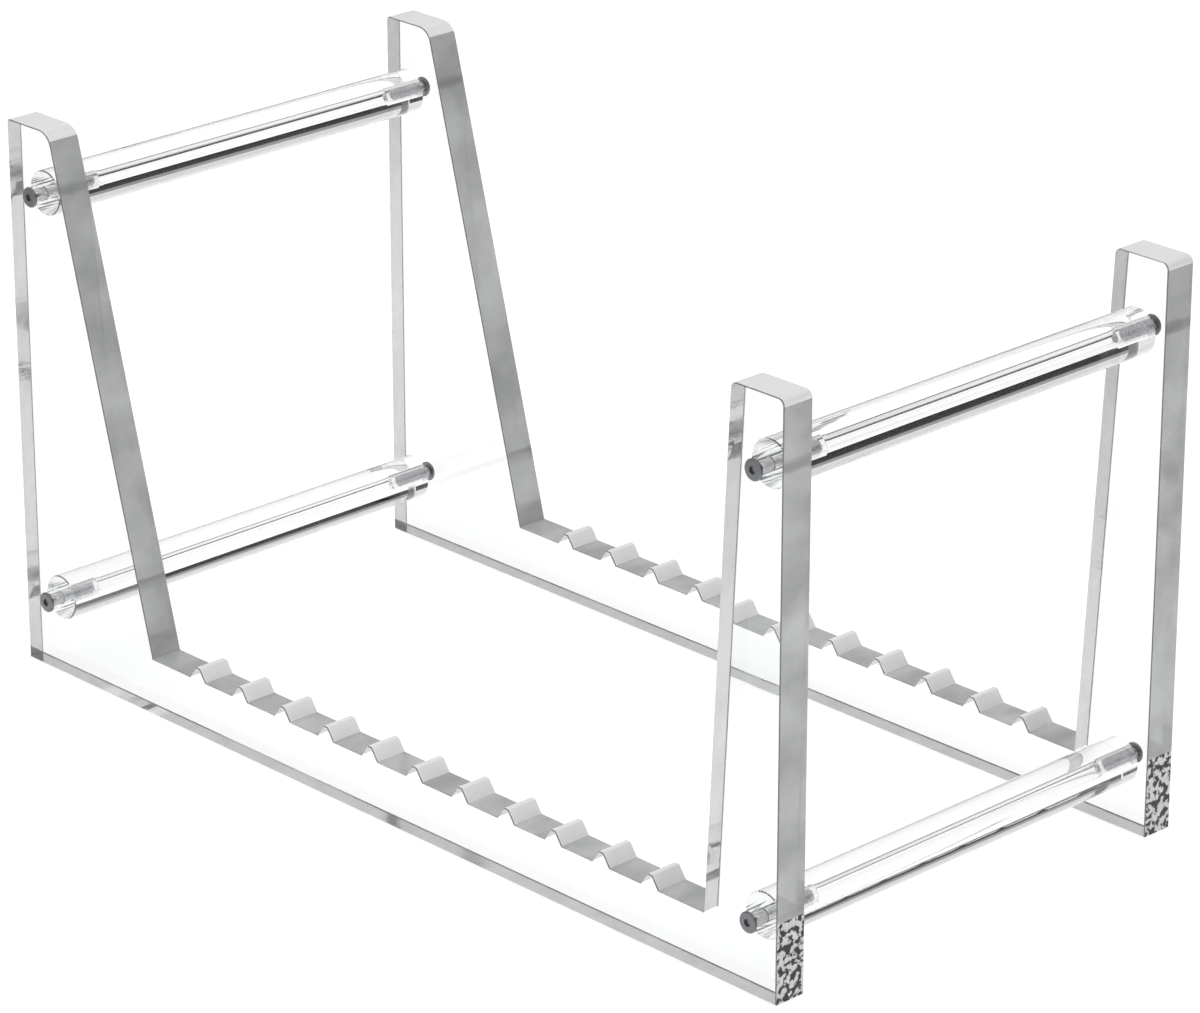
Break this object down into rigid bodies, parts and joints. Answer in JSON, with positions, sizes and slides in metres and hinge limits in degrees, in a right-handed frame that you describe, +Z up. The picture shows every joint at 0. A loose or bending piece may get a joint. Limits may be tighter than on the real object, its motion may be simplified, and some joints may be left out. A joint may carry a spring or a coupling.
{
  "type": "chip rack",
  "caption": "Clear acrylic rack: two U-shaped panels joined by round rods, with a toothed floor that holds plates, plaques or trays on edge.",
  "frame": {"origin": "middle of the base, on the surface that the panels stand on", "axes": "+X along the panels, from the sloping arm to the upright arm; +Y from the front panel to the back panel; +Z up"},
  "size_m": [0.3, 0.1518, 0.162],
  "materials": {
    "panel_acrylic": "clear cast acrylic sheet, laser cut, glossy",
    "rod_acrylic": "clear extruded acrylic rod with a 2.5 mm bore, glossy",
    "screw_steel": "stainless steel, machined"
  },
  "bodies": {
    "root": {"front_panel": "panel_acrylic", "back_panel": "panel_acrylic", "rod_upper_left": "rod_acrylic", "rod_lower_left": "rod_acrylic", "rod_upper_right": "rod_acrylic", "rod_lower_right": "rod_acrylic", "screw_front_upper_left": "screw_steel", "screw_back_upper_left": "screw_steel", "screw_front_lower_left": "screw_steel", "screw_back_lower_left": "screw_steel", "screw_front_upper_right": "screw_steel", "screw_back_upper_right": "screw_steel", "screw_front_lower_right": "screw_steel", "screw_back_lower_right": "screw_steel"}
  },
  "joints": []
}
